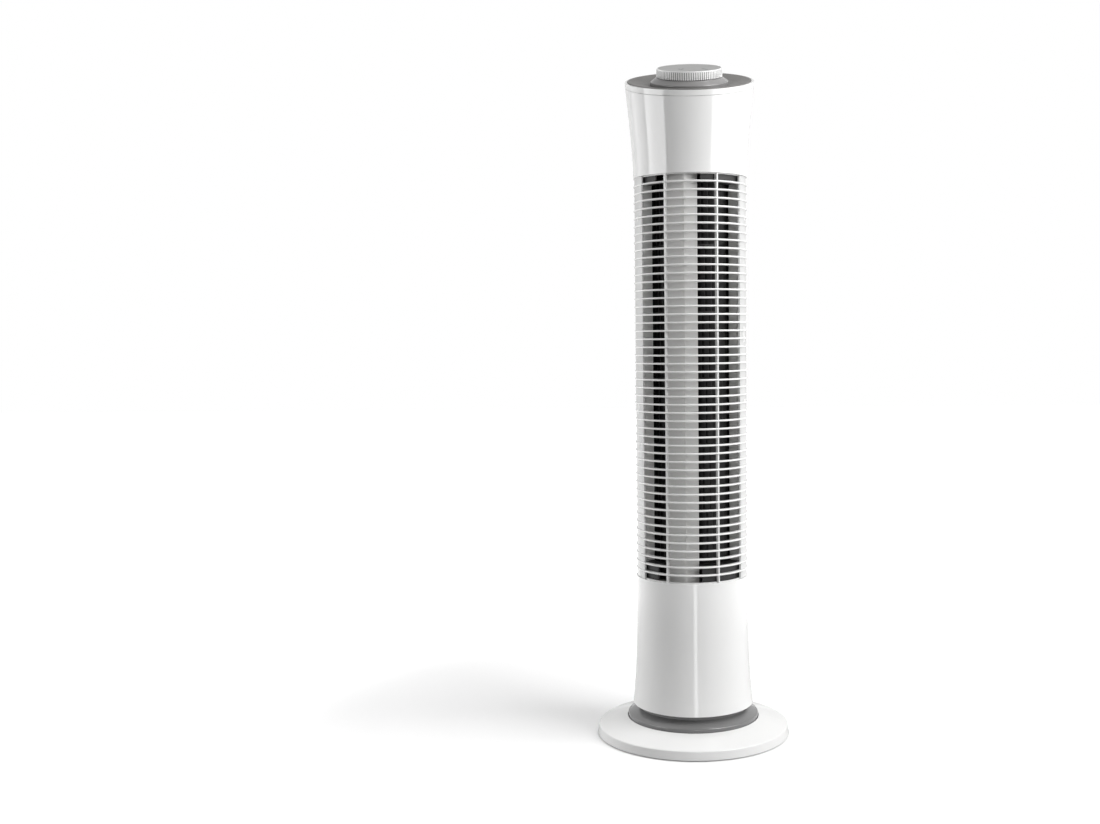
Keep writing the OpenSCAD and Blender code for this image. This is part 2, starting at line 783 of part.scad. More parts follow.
module run_capacitor() {
    width = motor_r/2;
    color(black) translate([-width/2, -radius_at(floor_z) + cover_wall + 3*collar_wall, floor_z + collar_wall])
        cube([width, width*2/3, width*1.4]);
}

module bearing_deck() {
    hub_r = journal_r + 2*bush_wall + deck_t + 2*run_gap;
    color(inner_white) difference() {
        union() {
            translate([0, 0, bearing_z]) cylinder(r = deck_r, h = deck_t);
            translate([0, 0, bearing_z]) cylinder(r = hub_r, h = 3*deck_t);
            for (a = [0, 60, 120]) rotate([0, 0, a])
                translate([-deck_r*2/3, -deck_t/3, bearing_z]) cube([deck_r*4/3, deck_t*2/3, 2*deck_t]);
        }
        translate([0, 0, bearing_z - over]) cylinder(r = hub_r - deck_t, h = 3*deck_t + 2*over);
    }
}

// Wall of the bush and of its holder
bush_wall = 4;

module bearing_holder() {
    color(rubber) translate([0, 0, bearing_z])
        ring(journal_r + 2*bush_wall + run_gap, journal_r + bush_wall + run_gap, 3*deck_t - fit_gap);
}

module bearing_bush() {
    color([0.72, 0.55, 0.3]) translate([0, 0, bearing_z - fit_gap])
        ring(journal_r + bush_wall, journal_r + run_gap, 3*deck_t);
}

// One blade of a plan, curved forwards from its inner to its outer edge
module blade() {
    inner = impeller_r - blade_depth;
    steps = 3;
    function camber(t, side) =
        let(r = inner + t*blade_depth, a = blade_lean_angle*t*t)
        [r*cos(a), r*sin(a) + side*blade_t/2];
    polygon(concat([for (i = [0:steps]) camber(i/steps, -1)], [for (i = [steps:-1:0]) camber(i/steps, 1)]));
}

// Turn of a blade's outer edge ahead of its inner edge, in degrees
blade_lean_angle = 9;

module impeller() {
    pitch = 360/blade_count;
    rim_in = impeller_r - blade_depth - 2*blade_t;
    color(black) difference() {
        union() {
            for (s = [0:section_count - 1]) translate([0, 0, impeller_z0 + ring_t/2 + s*section_h])
                linear_extrude(height = section_h) for (i = [0:blade_count - 1])
                    rotate([0, 0, (i + s/2)*pitch]) blade();
            for (s = [1:section_count - 1]) translate([0, 0, impeller_z0 + s*section_h])
                ring(impeller_r, rim_in, ring_t);
            for (z = [impeller_z0, impeller_z1 - end_disc_t])
                translate([0, 0, z]) cylinder(r = impeller_r, h = end_disc_t);
            translate([0, 0, impeller_z0]) cylinder(r = coupling_r + deck_t, h = coupling_h);
            translate([0, 0, impeller_z1 - coupling_h]) cylinder(r = 3*journal_r, h = coupling_h);
        }
        translate([0, 0, impeller_z0 - over]) cylinder(r = coupling_r + run_gap, h = coupling_h + 2*over);
        translate([0, 0, impeller_z1 - coupling_h - over]) cylinder(r = journal_r + run_gap, h = coupling_h + 2*over);
    }
}

module shaft_coupling() {
    color(grey) translate([0, 0, impeller_z0]) difference() {
        union() {
            cylinder(r = coupling_r, h = coupling_h);
            translate([0, 0, coupling_h]) cylinder(r = 2*shaft_r, h = coupling_h/2);
        }
        translate([0, 0, -over]) cylinder(r = shaft_r + run_gap, h = 2*coupling_h);
        translate([0, 0, coupling_h*5/4]) rotate([0, 90, 0]) cylinder(r = screw_r, h = 3*shaft_r);
    }
}

module coupling_screw() {
    color(steel) translate([shaft_r + fit_gap, 0, impeller_z0 + coupling_h*5/4]) rotate([0, 90, 0])
        cylinder(r = screw_r - run_gap, h = shaft_r);
}

module motor_shaft() {
    color(steel) translate([0, 0, motor_z0 - 2*bell_h])
        cylinder(r = shaft_r, h = impeller_z0 + coupling_h*3/2 - motor_z0 + 2*bell_h);
}

module top_journal() {
    color(steel) translate([0, 0, impeller_z1 - coupling_h])
        cylinder(r = journal_r, h = coupling_h + impeller_room + 3*deck_t);
}

// Air guides and shrouds, all between the two decks

guide_z0 = deck_top + low_shroud_h;
guide_z1 = bearing_z - high_shroud_h;

// Azimuths where the guides begin and end to follow the impeller, and of their rear edges
rear_azimuth = 108;
front_azimuth = 70;
flare_azimuth = 130;

// Wall that follows the impeller on one side, with a lip at the front and a flare at the rear
module air_guide(side, knee) {
    mid_r = guide_r + guide_wall/2;
    edge_r = deck_r - guide_wall;
    front_edge = at(edge_r, side*lip_azimuth);
    front_end = at(mid_r, side*front_azimuth);
    // Knee halfway along the lip, set off towards the impeller
    bend_at = (front_edge + front_end)/2 + knee*[-side, 1];
    line = concat([front_edge, bend_at],
        [for (i = [0:curve_steps])
            at(mid_r, side*(front_azimuth + (rear_azimuth - front_azimuth)*i/curve_steps))],
        [at(edge_r, side*flare_azimuth)]);
    color(inner_white) translate([0, 0, guide_z0])
        linear_extrude(height = guide_z1 - guide_z0) polygon(ribbon(line, guide_wall));
}

module left_air_guide() {
    air_guide(-1, 0);
}

module right_air_guide() {
    air_guide(1, guide_wall/2);
}

module front_tongue() {
    nose_y = deck_r - guide_wall;
    left_y = sqrt(guide_r*guide_r - tongue_left*tongue_left);
    right_y = sqrt(guide_r*guide_r - tongue_right*tongue_right);
    color(inner_white) translate([0, 0, deck_top]) linear_extrude(height = bearing_z - deck_top) difference() {
        polygon([[-tongue_left, -left_y], [-tongue_left, -left_y - guide_wall],
            [-tongue_nose - guide_wall, -nose_y + guide_wall/2], [-tongue_nose, -nose_y],
            [-tongue_nose + guide_wall, -nose_y + guide_wall/2],
            [tongue_right, -right_y - guide_wall], [tongue_right, -right_y], [0, 0]]);
        circle(r = guide_r);
        // Hollow behind both faces
        difference() {
            polygon([[2*guide_wall - tongue_left, -left_y], [-tongue_nose, 2*guide_wall - nose_y],
                [tongue_right - 2*guide_wall, -right_y], [0, 0]]);
            circle(r = guide_r + guide_wall);
        }
    }
}

// Black ring round one end of the impeller, open where the tongue passes
module shroud(z0, z1, plate_z) {
    edge_r = deck_r - fit_gap;
    from = atan(tongue_right/guide_r) + shroud_end_angle;
    to = 360 - asin(tongue_left/guide_r) - shroud_end_angle;
    color(black) sweep(from, to) {
        translate([edge_r - shroud_wall, z0]) square([shroud_wall, z1 - z0]);
        translate([guide_r - guide_gap/2, plate_z]) square([edge_r - guide_r + guide_gap/2, shroud_wall]);
    }
}

// Angle between the tongue and the shrouds' ends, in degrees
shroud_end_angle = 1.5;

module lower_shroud() {
    shroud(deck_top, guide_z0, guide_z0 - shroud_wall);
}

module upper_shroud() {
    shroud(guide_z1, bearing_z, guide_z1);
}

// Slanted top

module top_bezel() {
    skirt_w = seam_w - 2*rim_w;
    color(white) difference() {
        union() {
            slice(0, bezel_w, 0);
            slice(cover_wall + fit_gap, skirt_w, bezel_w + fit_gap);
        }
        slice(rim_w, ledge_w, over);
        slice(ledge_inset, skirt_w - over, over);
    }
}

// Grey plate let into the rim, dished from its border down to the dial's collar
module control_plate() {
    slope = (border_h + plate_depth)/(dish_r - dial_collar_r - fit_gap);
    color(grey) difference() {
        union() {
            slice(rim_w + fit_gap, ledge_w, border_h);
            slice(ledge_inset + fit_gap, plate_bottom, ledge_w + fit_gap);
        }
        on_top() rotate_extrude() polygon([[0, plate_w], [dial_collar_r + fit_gap, plate_w],
            [dish_r, border_h], [dish_r + over, border_h + over*slope], [0, border_h + over*slope]]);
        on_top(plate_bottom - over) cylinder(r = bush_r + fit_gap, h = plate_depth + 2*over);
    }
}

module dial_collar() {
    round_r = dial_collar_h/4;
    shoulder = [for (a = [0:15:75])
        [dial_collar_r - round_r + round_r*cos(a), collar_edge_w - round_r + round_r*sin(a)]];
    color(light_grey) on_top() rotate_extrude() polygon(concat(
        [[nut_r + 2*fit_gap, plate_w], [dial_collar_r, plate_w]],
        shoulder,
        [[dial_r, dial_w0 - fit_gap], [dial_r - 3*dial_wall, dial_w0 - fit_gap], [dial_r - 4*dial_wall, collar_edge_w],
            [nut_r + 2*fit_gap, collar_edge_w]]));
}

module rotary_switch() {
    color(black) on_top(switch_w - switch_h) difference() {
        union() {
            translate([-switch_half, -switch_half, 0]) cube([2*switch_half, 2*switch_half, switch_h]);
            cylinder(r = bush_r, h = switch_h + plate_w - switch_w + nut_r/2);
        }
        translate([0, 0, switch_h/2]) cylinder(r = spindle_pin_r + run_gap, h = 2*switch_h);
    }
    // Blade terminals under the switch
    color(steel) on_top(switch_w - switch_h) for (x = [-1, 0, 1], y = [-1, 1])
        translate([x*switch_half/2 - spindle_pin_r/2, y*switch_half/2, -2*spindle_pin_r])
            cube([spindle_pin_r, spindle_pin_r/4, 2*spindle_pin_r + over]);
}

module switch_nut() {
    color(steel) on_top(plate_w) difference() {
        cylinder(r = nut_r, h = nut_r/3, $fn = 6);
        translate([0, 0, -over]) cylinder(r = bush_r + run_gap, h = nut_r);
    }
}

module switch_spindle() {
    color(light_grey) on_top(switch_w - switch_h/2 + fit_gap)
        cylinder(r = spindle_pin_r, h = dial_web_w - switch_w + switch_h/2 - 2*fit_gap);
}

// Plan of the dial's fluted side
module flutes() {
    polygon([for (i = [0:flute_count - 1], part = [0:3])
        let(a = (i + part/4)*360/flute_count, r = dial_r - (part > 1 ? flute_depth : 0))
        [r*cos(a), r*sin(a)]]);
}

module dial() {
    top_r_dial = dial_r - dial_draft;
    boss_r = 2.4*spindle_pin_r;
    color(white) on_top() difference() {
        union() {
            intersection() {
                translate([0, 0, dial_w0 + fit_gap]) linear_extrude(height = dial_h - fit_gap - dial_lip) flutes();
                rotate_extrude() polygon([[0, dial_w0], [dial_r, dial_w0], [top_r_dial, dial_w1], [0, dial_w1]]);
            }
            rotate_extrude() polygon([[0, dial_w1 - 2*dial_lip], [top_r_dial - flute_depth, dial_w1 - 2*dial_lip],
                [top_r_dial, dial_w1 - dial_lip], [top_r_dial, dial_w1 - dial_lip/4],
                [top_r_dial - dial_lip/4, dial_w1], [0, dial_w1]]);
        }
        translate([0, 0, dial_w0 - over]) difference() {
            cylinder(r = dial_r - dial_wall, h = dial_web_w - dial_w0 + over);
            cylinder(r = boss_r, h = dial_h);
        }
        translate([0, 0, dial_w0 - over]) cylinder(r = spindle_pin_r + run_gap, h = dial_web_w - dial_w0 + over);
        translate([0, 0, dial_w1 - cap_t]) cylinder(r = top_r_dial - dial_lip, h = cap_t + over);
    }
}

// Grey inset on the dial, with a pointer groove towards the front
module dial_cap() {
    cap_r = dial_r - dial_draft - dial_lip - fit_gap;
    color(light_grey) on_top(dial_w1 - cap_t) difference() {
        cylinder(r = cap_r, h = cap_t);
        translate([-dial_lip/4, -cap_r + dial_lip, cap_t - dial_lip/4])
            cube([dial_lip/2, 3*dial_lip, cap_t]);
    }
}

base_shell();
ballast_plate();
rubber_feet();
base_screws();
swing_yoke();
glide_ring();
swivel_collar();
spindle_retainer();
retainer_screws();
swing_motor();
column_floor();
lower_front_cover();
lower_rear_cover();
front_grille();
rear_grille();
upper_front_cover();
upper_rear_cover();
cover_screws();
cord_gland();
motor_deck();
drive_motor();
motor_mounts();
mount_screws();
run_capacitor();
left_air_guide();
right_air_guide();
front_tongue();
lower_shroud();
upper_shroud();
bearing_deck();
bearing_holder();
bearing_bush();
top_bezel();
control_plate();
dial_collar();
rotary_switch();
switch_nut();
crank_disc();
impeller();
motor_shaft();
shaft_coupling();
coupling_screw();
top_journal();
dial();
dial_cap();
switch_spindle();
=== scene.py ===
# %% [markdown]
# This lesson dresses a tower fan: a slim white column on a round base, with a slatted grille,
# a black cross-flow impeller behind it and one fluted dial on a slanted top.
# The solids come from a CAD model that is loaded first. They already have the right sizes and places,
# so the work here is finishes, small trim, light and camera, all in metres and in the same frame.
# The fan stands on z = 0, its front looks towards -Y, and +X is on the right in the picture.

# %% Load the solids
import json
import math

import bmesh
import bpy
from mathutils import Matrix, Vector


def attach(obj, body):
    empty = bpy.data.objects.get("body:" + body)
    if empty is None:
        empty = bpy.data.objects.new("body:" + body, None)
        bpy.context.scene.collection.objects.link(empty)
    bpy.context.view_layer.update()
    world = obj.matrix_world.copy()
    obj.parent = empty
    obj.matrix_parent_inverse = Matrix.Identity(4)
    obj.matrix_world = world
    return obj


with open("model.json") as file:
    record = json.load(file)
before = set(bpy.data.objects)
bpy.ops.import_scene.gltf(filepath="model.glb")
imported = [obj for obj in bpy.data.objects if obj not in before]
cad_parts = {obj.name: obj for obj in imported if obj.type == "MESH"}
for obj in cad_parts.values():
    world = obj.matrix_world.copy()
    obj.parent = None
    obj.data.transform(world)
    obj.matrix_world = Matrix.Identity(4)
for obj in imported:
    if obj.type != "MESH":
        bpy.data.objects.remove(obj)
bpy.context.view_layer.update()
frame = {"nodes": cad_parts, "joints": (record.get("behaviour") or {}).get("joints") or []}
nodes = frame["nodes"]
scene = bpy.context.scene

# %% [markdown]
# The camera comes before the looks, because every later choice is judged through it.
# A photograph of a tall product is taken from about half its height, a little above the middle,
# and from far enough away that the column keeps nearly the same width from top to bottom.
# It could be aimed with a tracking constraint. It is set by its three angles instead,
# because a slight roll, which a tracking constraint can't give, belongs to the picture.

# %% Camera angles
YAW, DOWN, ROLL = (math.radians(a) for a in (-2.174, 3.680, -0.558))


def camera_axes(yaw, down, roll):
    """Right, up and view directions of a camera that looks along +Y before it is turned."""
    ahead = Vector((math.sin(yaw), math.cos(yaw), 0))
    right = Vector((math.cos(yaw), -math.sin(yaw), 0))
    top = Vector((0, 0, 1))
    view = ahead * math.cos(down) - top * math.sin(down)
    up = ahead * math.sin(down) + top * math.cos(down)
    tilted_right = right * math.cos(roll) + up * math.sin(roll)
    tilted_up = up * math.cos(roll) - right * math.sin(roll)
    return tilted_right, tilted_up, view


side, upward, view = camera_axes(YAW, DOWN, ROLL)
print("view direction:", [round(c, 3) for c in view])

# %% [markdown]
# A lens is described here by its length in pixels, which is what can be measured in a picture, and
# Blender asks for millimetres on a sensor of a given width. The picture is the left part of a wider
# one, so the lens is also shifted a little to the side. Turning the camera instead would place the
# fan as well, but it would draw the round base a little differently.

# %% Camera
PICTURE_WIDTH = 1100
FOCAL_PIXELS = 1279.9
AXIS_PIXEL = 620.96
SENSOR = 36.0
CAMERA_PLACE = Vector((-0.0249, -1.4613, 0.4649))
camera_data = bpy.data.cameras.new("studio_camera")
camera_data.sensor_width = SENSOR
camera_data.lens = FOCAL_PIXELS * SENSOR / PICTURE_WIDTH
camera_data.shift_x = (PICTURE_WIDTH / 2 - AXIS_PIXEL) / PICTURE_WIDTH
camera = bpy.data.objects.new("studio_camera", camera_data)
scene.collection.objects.link(camera)
turn = Matrix((side, upward, -view)).transposed().to_4x4()
camera.matrix_world = Matrix.Translation(CAMERA_PLACE) @ turn
scene.camera = camera
print("lens:", round(camera_data.lens, 2), "mm, shift:", round(camera_data.shift_x, 4))

# %% [markdown]
# A finish is a tree of nodes round a Principled shader, which can show plastic, metal, paint and
# rubber alike. Nodes could be set up by hand in Blender's editor. Made by a script, they can be
# repeated for every finish, and two helpers take up what is the same each time.

# %% Helpers for nodes
def add_node(tree, kind, values=None, **options):
    """A new node: its options are set first, and then the values of its sockets."""
    node = tree.nodes.new(kind)
    for option, setting in options.items():
        setattr(node, option, setting)
    for socket, value in (values or {}).items():
        node.inputs[socket].default_value = value
    return node


def new_finish(name):
    """A new material with a Principled shader, and the tools to wire it."""
    material = bpy.data.materials.new(name)
    material.use_nodes = True
    tree = material.node_tree
    place = add_node(tree, "ShaderNodeTexCoord")
    return material, tree, tree.nodes["Principled BSDF"], place.outputs["Object"]


# %% [markdown]
# Every finish here has a colour that wanders a little and a roughness that wanders too. Image
# textures could hold this, but noise worked out from the object's own coordinates has no seams,
# needs no files and stays sharp at any distance.
# The raw noise keeps near its middle value, so only its middle part is stretched over the range.

# %% Helpers for colour and gloss
NOISE_LOW, NOISE_HIGH = 0.3, 0.7


def noise(tree, place, scale, detail=3.0):
    """Noise over the object's coordinates. Scale is in features per metre."""
    node = add_node(tree, "ShaderNodeTexNoise", {"Scale": scale, "Detail": detail})
    tree.links.new(place, node.inputs["Vector"])
    return node.outputs["Fac"]


def spread(tree, value, low, high):
    """Stretches the middle of a noise over a range of values."""
    ends = {"From Min": NOISE_LOW, "From Max": NOISE_HIGH, "To Min": low, "To Max": high}
    node = add_node(tree, "ShaderNodeMapRange", ends)
    tree.links.new(value, node.inputs["Value"])
    return node.outputs["Result"]


def between(tree, value, first, second):
    """A colour that wanders between two colours."""
    node = add_node(tree, "ShaderNodeMix", {"A": (*first, 1), "B": (*second, 1)}, data_type="RGBA")
    tree.links.new(value, node.inputs["Factor"])
    return node.outputs["Result"]


# %% [markdown]
# No moulded edge is knife-sharp, so a finish can also round the edges that light runs along.
# A bevel modifier could do it, but it would cut up the thin slats, while a bevel node only turns the
# surface's normal near an edge. The fine grain goes on top of it as a bump.

# %% Helper for grain and edges
BEVEL_SAMPLES = 6


def raise_bumps(tree, shader, heights, depth, edge=0.0):
    """Bumps of a given depth, in metres, over edges that are rounded to a given radius."""
    node = add_node(tree, "ShaderNodeBump", {"Strength": 1.0, "Distance": depth})
    tree.links.new(heights, node.inputs["Height"])
    if edge > 0:
        rounding = add_node(tree, "ShaderNodeBevel", {"Radius": edge}, samples=BEVEL_SAMPLES)
        tree.links.new(rounding.outputs["Normal"], node.inputs["Normal"])
    tree.links.new(node.outputs["Normal"], shader.inputs["Normal"])


# %% [markdown]
# Most of the fan is injection-moulded. Such plastic has one colour all through, so its look is in the
# gloss and in the grain that the mould leaves. Patches of colour and gloss are a few centimetres
# wide, as on the real thing, where they come from the way the plastic flowed.

# %% Moulded plastic
COLOUR_PATCHES = 14.0
GLOSS_PATCHES = 40.0
GRAIN_DETAIL = 5.0


def moulded(name, colour, wander, rough, grain, depth, specular=0.5, edge=0.0):
    """Moulded plastic: even colour, soft changes of gloss and a fine grain."""
    material, tree, shader, place = new_finish(name)
    drift = spread(tree, noise(tree, place, COLOUR_PATCHES), 0.0, 1.0)
    darker = tuple(c * (1.0 - wander) for c in colour)
    tree.links.new(between(tree, drift, colour, darker), shader.inputs["Base Color"])
    gloss = spread(tree, noise(tree, place, GLOSS_PATCHES), *rough)
    tree.links.new(gloss, shader.inputs["Roughness"])
    raise_bumps(tree, shader, noise(tree, place, grain, GRAIN_DETAIL), depth, edge)
    shader.inputs["Specular IOR Level"].default_value = specular
    return material


# %% [markdown]
# The casing and the base are glossy white. From a step away they are even, but their reflections
# waver slightly, as on any large moulding. A clear coat layer would double the reflection, so the
# plastic's own gloss is used with a very shallow, slow bump.
# The dial and the grille are moulded in the same white and are a little duller. Their edges are not
# rounded by the finish, which would wipe out the dial's flutes.
# Inside, the walls that steer the air have never been polished. The left one gets a whiter copy of
# their colour as painted light, for the light from the right that falls on it.

# %% White plastics
WHITE = (0.80, 0.80, 0.795)
EDGE = 0.0004
SATIN = {"colour": WHITE, "wander": 0.012, "rough": (0.2, 0.28), "grain": 300.0, "depth": 0.00001}
casing_white = moulded("casing_white", WHITE, wander=0.012, rough=(0.08, 0.13),
                       grain=55.0, depth=0.00001, edge=EDGE)
dial_white = moulded("dial_white", **SATIN)
grille_white = moulded("grille_white", **SATIN)
inner_white = moulded("inner_white", (0.66, 0.655, 0.645), wander=0.04, rough=(0.38, 0.5),
                      grain=500.0, depth=0.00003, specular=0.4)
# Painted light: the left guide's colour is whiter than inner_white to show the light from the right on
# it.
guide_white_painted_light = moulded("guide_white_painted_light", (0.88, 0.875, 0.865), wander=0.02, rough=(0.3, 0.4),
                      grain=500.0, depth=0.00002)
print("white finishes:", [m.name for m in (casing_white, dial_white, grille_white)])
print("inner finishes:", [m.name for m in (inner_white, guide_white_painted_light)])

# %% [markdown]
# The greys are plastic too. The plate in the top has the fine matt grain of a spark-eroded mould,
# the swivel collar and the ring round the dial are smoother, and the dial's inset is a light satin.
# One grey could serve them all, but the eye tells these pieces apart by their gloss.

# %% Grey plastics
POLISHED = {"wander": 0.03, "rough": (0.12, 0.17), "grain": 300.0, "depth": 0.000004,
            "specular": 0.8, "edge": EDGE}
plate_grey = moulded("plate_grey", (0.158, 0.153, 0.148), wander=0.05, rough=(0.42, 0.52),
                     grain=2400.0, depth=0.00006, edge=EDGE)
ring_grey = moulded("ring_grey", (0.225, 0.222, 0.22), **POLISHED)
collar_grey = moulded("collar_grey", (0.18, 0.18, 0.18), **POLISHED)
inset_grey = moulded("inset_grey", (0.30, 0.30, 0.295), wander=0.03, rough=(0.34, 0.42),
                     grain=1800.0, depth=0.00003, edge=EDGE)
print("grey finishes:", [m.name for m in (plate_grey, ring_grey, collar_grey, inset_grey)])

# %% [markdown]
# The impeller is black plastic, matt enough that only its blade edges catch a thin light.
# The shrouds at its ends and the electrical boxes are a duller black.

# %% Black plastics
impeller_black = moulded("impeller_black", (0.012, 0.011, 0.011), wander=0.2, rough=(0.42, 0.55),
                         grain=700.0, depth=0.00002)
box_black = moulded("box_black", (0.02, 0.02, 0.02), wander=0.2, rough=(0.5, 0.6),
                    grain=900.0, depth=0.00003)
print("black finishes:", [m.name for m in (impeller_black, box_black)])

# %% [markdown]
# Motor cans, screws and shafts are metal. Turned or drawn metal has fine lines that run round it.
# They could be cut as real grooves, but they are far too fine. A noise that is stretched along two
# axes gives them: it changes quickly up the axis and slowly round it.

# %% Metals
LINE_STRETCH = (0.04, 0.04, 1.0)
LINE_DETAIL = 4.0
LINE_DARKER = 0.8


def drawn_metal(name, colour, rough, lines_per_metre, depth):
    """Metal with fine lines that run round the upright axis."""
    material, tree, shader, place = new_finish(name)
    stretch = add_node(tree, "ShaderNodeMapping", {"Scale": LINE_STRETCH})
    tree.links.new(place, stretch.inputs["Vector"])
    lines = noise(tree, stretch.outputs["Vector"], lines_per_metre, LINE_DETAIL)
    darker = tuple(c * LINE_DARKER for c in colour)
    tint = between(tree, spread(tree, lines, 0.0, 1.0), colour, darker)
    tree.links.new(tint, shader.inputs["Base Color"])
    tree.links.new(spread(tree, lines, *rough), shader.inputs["Roughness"])
    raise_bumps(tree, shader, lines, depth)
    shader.inputs["Metallic"].default_value = 1.0
    return material


screw_steel = drawn_metal("screw_steel", (0.62, 0.62, 0.64), rough=(0.22, 0.36),
                          lines_per_metre=4000.0, depth=0.00001)
motor_steel = drawn_metal("motor_steel", (0.45, 0.45, 0.46), rough=(0.32, 0.46),
                          lines_per_metre=2500.0, depth=0.00002)
bush_bronze = drawn_metal("bush_bronze", (0.55, 0.36, 0.16), rough=(0.35, 0.5),
                          lines_per_metre=3000.0, depth=0.00002)
print("metal finishes:", [m.name for m in (screw_steel, motor_steel, bush_bronze)])

# %% [markdown]
# The ballast plate is steel under black paint with a light orange-peel, and the feet are matt rubber
# that has picked up a little dust, so their colour wanders more than the plastics do. Both have the
# same build as moulded plastic, an even colour under a fine grain, so the same function makes them.

# %% Paint and rubber
ballast_paint = moulded("ballast_paint", (0.035, 0.035, 0.037), wander=0.15, rough=(0.36, 0.5),
                        grain=900.0, depth=0.00008)
foot_rubber = moulded("foot_rubber", (0.028, 0.027, 0.026), wander=0.35, rough=(0.7, 0.85),
                      grain=1500.0, depth=0.00008, specular=0.3)
print("paint and rubber:", [m.name for m in (ballast_paint, foot_rubber)])

# %% [markdown]
# Each solid gets the finish of its material. Its mesh is left alone, and only its slots change.
# The crank disc is moulded with the dial's white, and small rubber pieces share one rubber.

# %% Dress the solids
DRESS = {
    casing_white: ["base_shell", "lower_front_cover", "lower_rear_cover", "upper_front_cover",
                   "upper_rear_cover", "top_bezel"],
    dial_white: ["dial", "crank_disc"],
    grille_white: ["front_grille", "rear_grille"],
    inner_white: ["column_floor", "motor_deck", "bearing_deck", "right_air_guide", "front_tongue"],
    # the left guide's finish holds painted light
    guide_white_painted_light: ["left_air_guide"],
    collar_grey: ["swivel_collar", "shaft_coupling"],
    plate_grey: ["control_plate"],
    ring_grey: ["dial_collar"],
    inset_grey: ["dial_cap", "swing_yoke", "glide_ring", "spindle_retainer", "switch_spindle"],
    impeller_black: ["impeller"],
    box_black: ["run_capacitor", "rotary_switch", "lower_shroud", "upper_shroud"],
    screw_steel: ["base_screws", "retainer_screws", "cover_screws", "mount_screws", "switch_nut",
                  "motor_shaft", "coupling_screw", "top_journal"],
    motor_steel: ["drive_motor", "swing_motor"],
    bush_bronze: ["bearing_bush"],
    ballast_paint: ["ballast_plate"],
    foot_rubber: ["rubber_feet", "cord_gland", "motor_mounts", "bearing_holder"],
}
for finish, names in DRESS.items():
    for name in names:
        slots = nodes[name].data.materials
        slots.clear()
        slots.append(finish)
undressed = sorted(set(nodes) - {name for names in DRESS.values() for name in names})
print("solids without a finish:", undressed)

# %% [markdown]
# Two places look darker than the plastic round them: the bottoms of the dial's flutes, where light
# hardly reaches, and the grille's two upright side strips, which lie a little behind the slats.
# A painted map could hold this shade. Here the finish itself finds the places by measuring, so it
# needs helpers that measure a point, calculate with the result, and darken the colour there.

# %% Helpers for shade by place
def measured_along(tree, place, centre, direction):
    """How far each point of a surface lies from a centre, measured along a direction."""
    offset = add_node(tree, "ShaderNodeVectorMath", {1: centre}, operation="SUBTRACT")
    tree.links.new(place, offset.inputs[0])
    along = add_node(tree, "ShaderNodeVectorMath", {1: direction}, operation="DOT_PRODUCT")
    tree.links.new(offset.outputs["Vector"], along.inputs[0])
    return along.outputs["Value"]


def calculate(tree, operation, first, second=None):
    """One step of arithmetic. The second number may be a socket, a plain value or left out."""
    node = add_node(tree, "ShaderNodeMath", operation=operation)
    tree.links.new(first, node.inputs[0])
    if isinstance(second, float):
        node.inputs[1].default_value = second
    elif second is not None:
        tree.links.new(second, node.inputs[1])
    return node.outputs["Value"]


def darken(material, where, dark):
    """Multiplies a finish's colour by a factor where a mask is 1, and leaves it where it is 0."""
    tree = material.node_tree
    shader = tree.nodes["Principled BSDF"]
    colour = shader.inputs["Base Color"].links[0].from_socket
    shade = add_node(tree, "ShaderNodeMapRange", {"To Min": 1.0, "To Max": dark})
    tree.links.new(where, shade.inputs["Value"])
    mix = add_node(tree, "ShaderNodeMix", {"Factor": 1.0}, data_type="RGBA", blend_type="MULTIPLY")
    tree.links.new(colour, mix.inputs["A"])
    tree.links.new(shade.outputs["Result"], mix.inputs["B"])
    tree.links.new(mix.outputs["Result"], shader.inputs["Base Color"])


def surface_place(material):
    """A finish's node tree, and the socket with the object's own coordinates."""
    tree = material.node_tree
    return tree, tree.nodes["Texture Coordinate"].outputs["Object"]


# %% [markdown]
# The dial turns on a slanted axis, so its directions are taken from its joint. Its height above the
# joint is measured on its own solid, because the plain rim above the flutes must stay white.

# %% The dial's own directions
dial_joint = next(j for j in frame["joints"] if j["name"] == "dial_turn")
dial_place = Vector(dial_joint["pos_m"])
dial_up = Vector(dial_joint["axis"]).normalized()
dial_right = Vector((1, 0, 0))
dial_back = dial_up.cross(dial_right)
dial_top = max((v.co - dial_place).dot(dial_up) for v in nodes["dial"].data.vertices)
print("dial top above its joint:", round(dial_top, 4))

# %% [markdown]
# The flutes stand at even angles, so the angle round the axis, times their number, rises by one full
# turn from flute to flute. A groove's middle lies at a fixed share of that turn, and there the
# cosine is highest. The cut sets how wide the dark line is: the higher the cut, the narrower the line.

# %% Shade in the dial's flutes
FLUTES = 92.0
GROOVE_SHARE = 0.625
GROOVE_CUT = 0.3
GROOVE_SHADE = 0.4
RIM = 0.0011
tree, spot = surface_place(dial_white)
to_right, to_back, to_top = (measured_along(tree, spot, dial_place, direction)
                             for direction in (dial_right, dial_back, dial_up))
turned = calculate(tree, "MULTIPLY", calculate(tree, "ARCTAN2", to_back, to_right), FLUTES)
wave = calculate(tree, "COSINE", calculate(tree, "SUBTRACT", turned, GROOVE_SHARE * math.tau))
in_groove = calculate(tree, "GREATER_THAN", wave, GROOVE_CUT)
below_rim = calculate(tree, "LESS_THAN", to_top, dial_top - RIM)
darken(dial_white, calculate(tree, "MULTIPLY", in_groove, below_rim), GROOVE_SHADE)
print("flutes shaded:", int(FLUTES))

# %% [markdown]
# The side strips are found in the same way. They lie nearer to the column's axis than the slats'
# edges do, and the value used here is about half of their recess, so the cut runs between the two
# surfaces. A second cut keeps the shade to the sides, or it would darken the backs of all slats.

